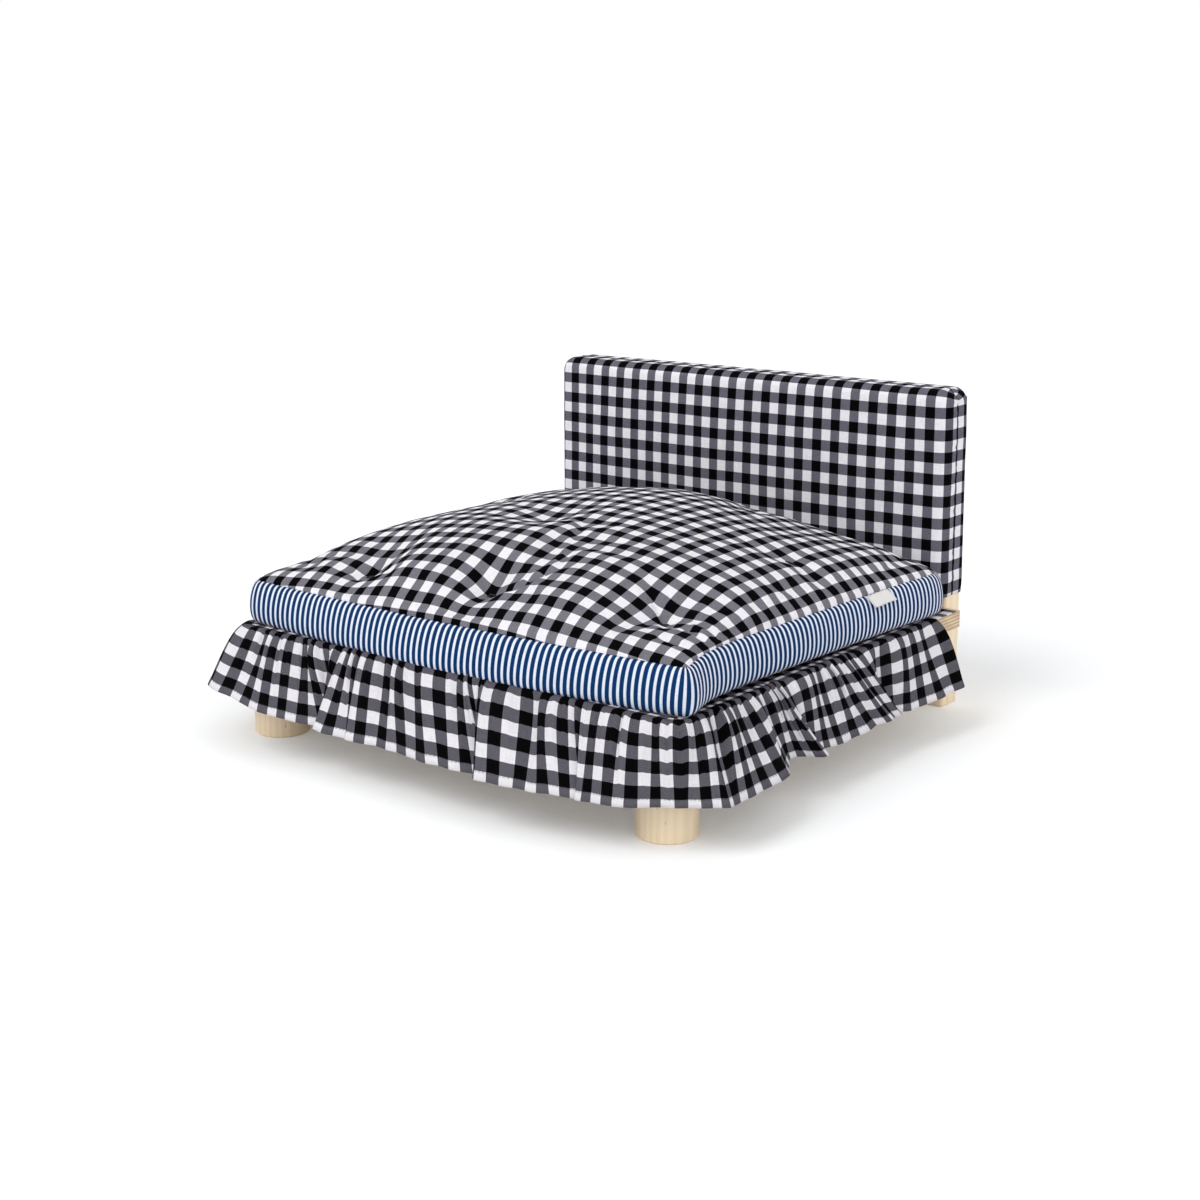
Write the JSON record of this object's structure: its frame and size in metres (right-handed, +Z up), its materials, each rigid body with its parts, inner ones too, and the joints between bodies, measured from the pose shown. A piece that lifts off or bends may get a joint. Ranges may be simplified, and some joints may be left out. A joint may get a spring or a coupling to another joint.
{
  "type": "cat bed",
  "caption": "Low wooden cat bed with a padded gingham headboard cover, a crowned tufted cushion with a striped band, and a gathered gingham skirt.",
  "frame": {"origin": "on the floor, in the middle of the bed's footprint", "axes": "+Z up, +X to the right seen from the front, +Y to the back, where the headboard stands"},
  "size_m": [0.5694, 0.5489, 0.3048],
  "materials": {
    "pine": "clear matt lacquer",
    "plywood": "bare sanded",
    "gingham": "woven cotton gingham",
    "ticking": "woven cotton stripe",
    "lining": "plain woven cotton",
    "wadding": "loose polyester wadding",
    "foam": "open cell foam",
    "thread": "twisted thread",
    "label_tape": "blank woven tape",
    "zinc": "zinc plated"
  },
  "bodies": {
    "frame": {"deck_panel": "plywood", "front_left_foot": "pine", "front_left_foot_bolt": "zinc", "front_left_tee_nut": "zinc", "front_rail": "pine", "front_right_foot": "pine", "front_right_foot_bolt": "zinc", "front_right_tee_nut": "zinc", "headboard_board": "plywood", "headboard_foam": "foam", "headboard_top_rail": "pine", "left_deck_screws": "zinc", "left_side_rail": "pine", "rear_left_barrel_nut": "zinc", "rear_left_bolt": "zinc", "rear_left_post": "pine", "rear_rail": "pine", "rear_right_barrel_nut": "zinc", "rear_right_bolt": "zinc", "rear_right_post": "pine", "right_deck_screws": "zinc", "right_side_rail": "pine", "skirt_front": "gingham", "skirt_left": "gingham", "skirt_left_corner": "gingham", "skirt_right": "gingham", "skirt_right_corner": "gingham", "skirt_sheet": "gingham"},
    "cushion": {"cushion_band": "ticking", "cushion_bottom": "lining", "cushion_filling": "wadding", "cushion_label": "label_tape", "cushion_top": "gingham", "tuft_tie_1": "thread", "tuft_tie_2": "thread", "tuft_tie_3": "thread", "tuft_tie_4": "thread", "tuft_tie_5": "thread", "tuft_tie_6": "thread", "tuft_tie_7": "thread", "tuft_tie_8": "thread"},
    "headboard_cover": {"headboard_cover_back": "gingham", "headboard_cover_front": "gingham"}
  },
  "joints": [
    {"name": "cushion_lift", "type": "slide", "parent": "frame", "child": "cushion", "axis": [0, 0, 1], "range_m": [0, 0.25]},
    {"name": "cover_lift", "type": "slide", "parent": "frame", "child": "headboard_cover", "axis": [0, 0, 1], "range_m": [0, 0.22]}
  ]
}
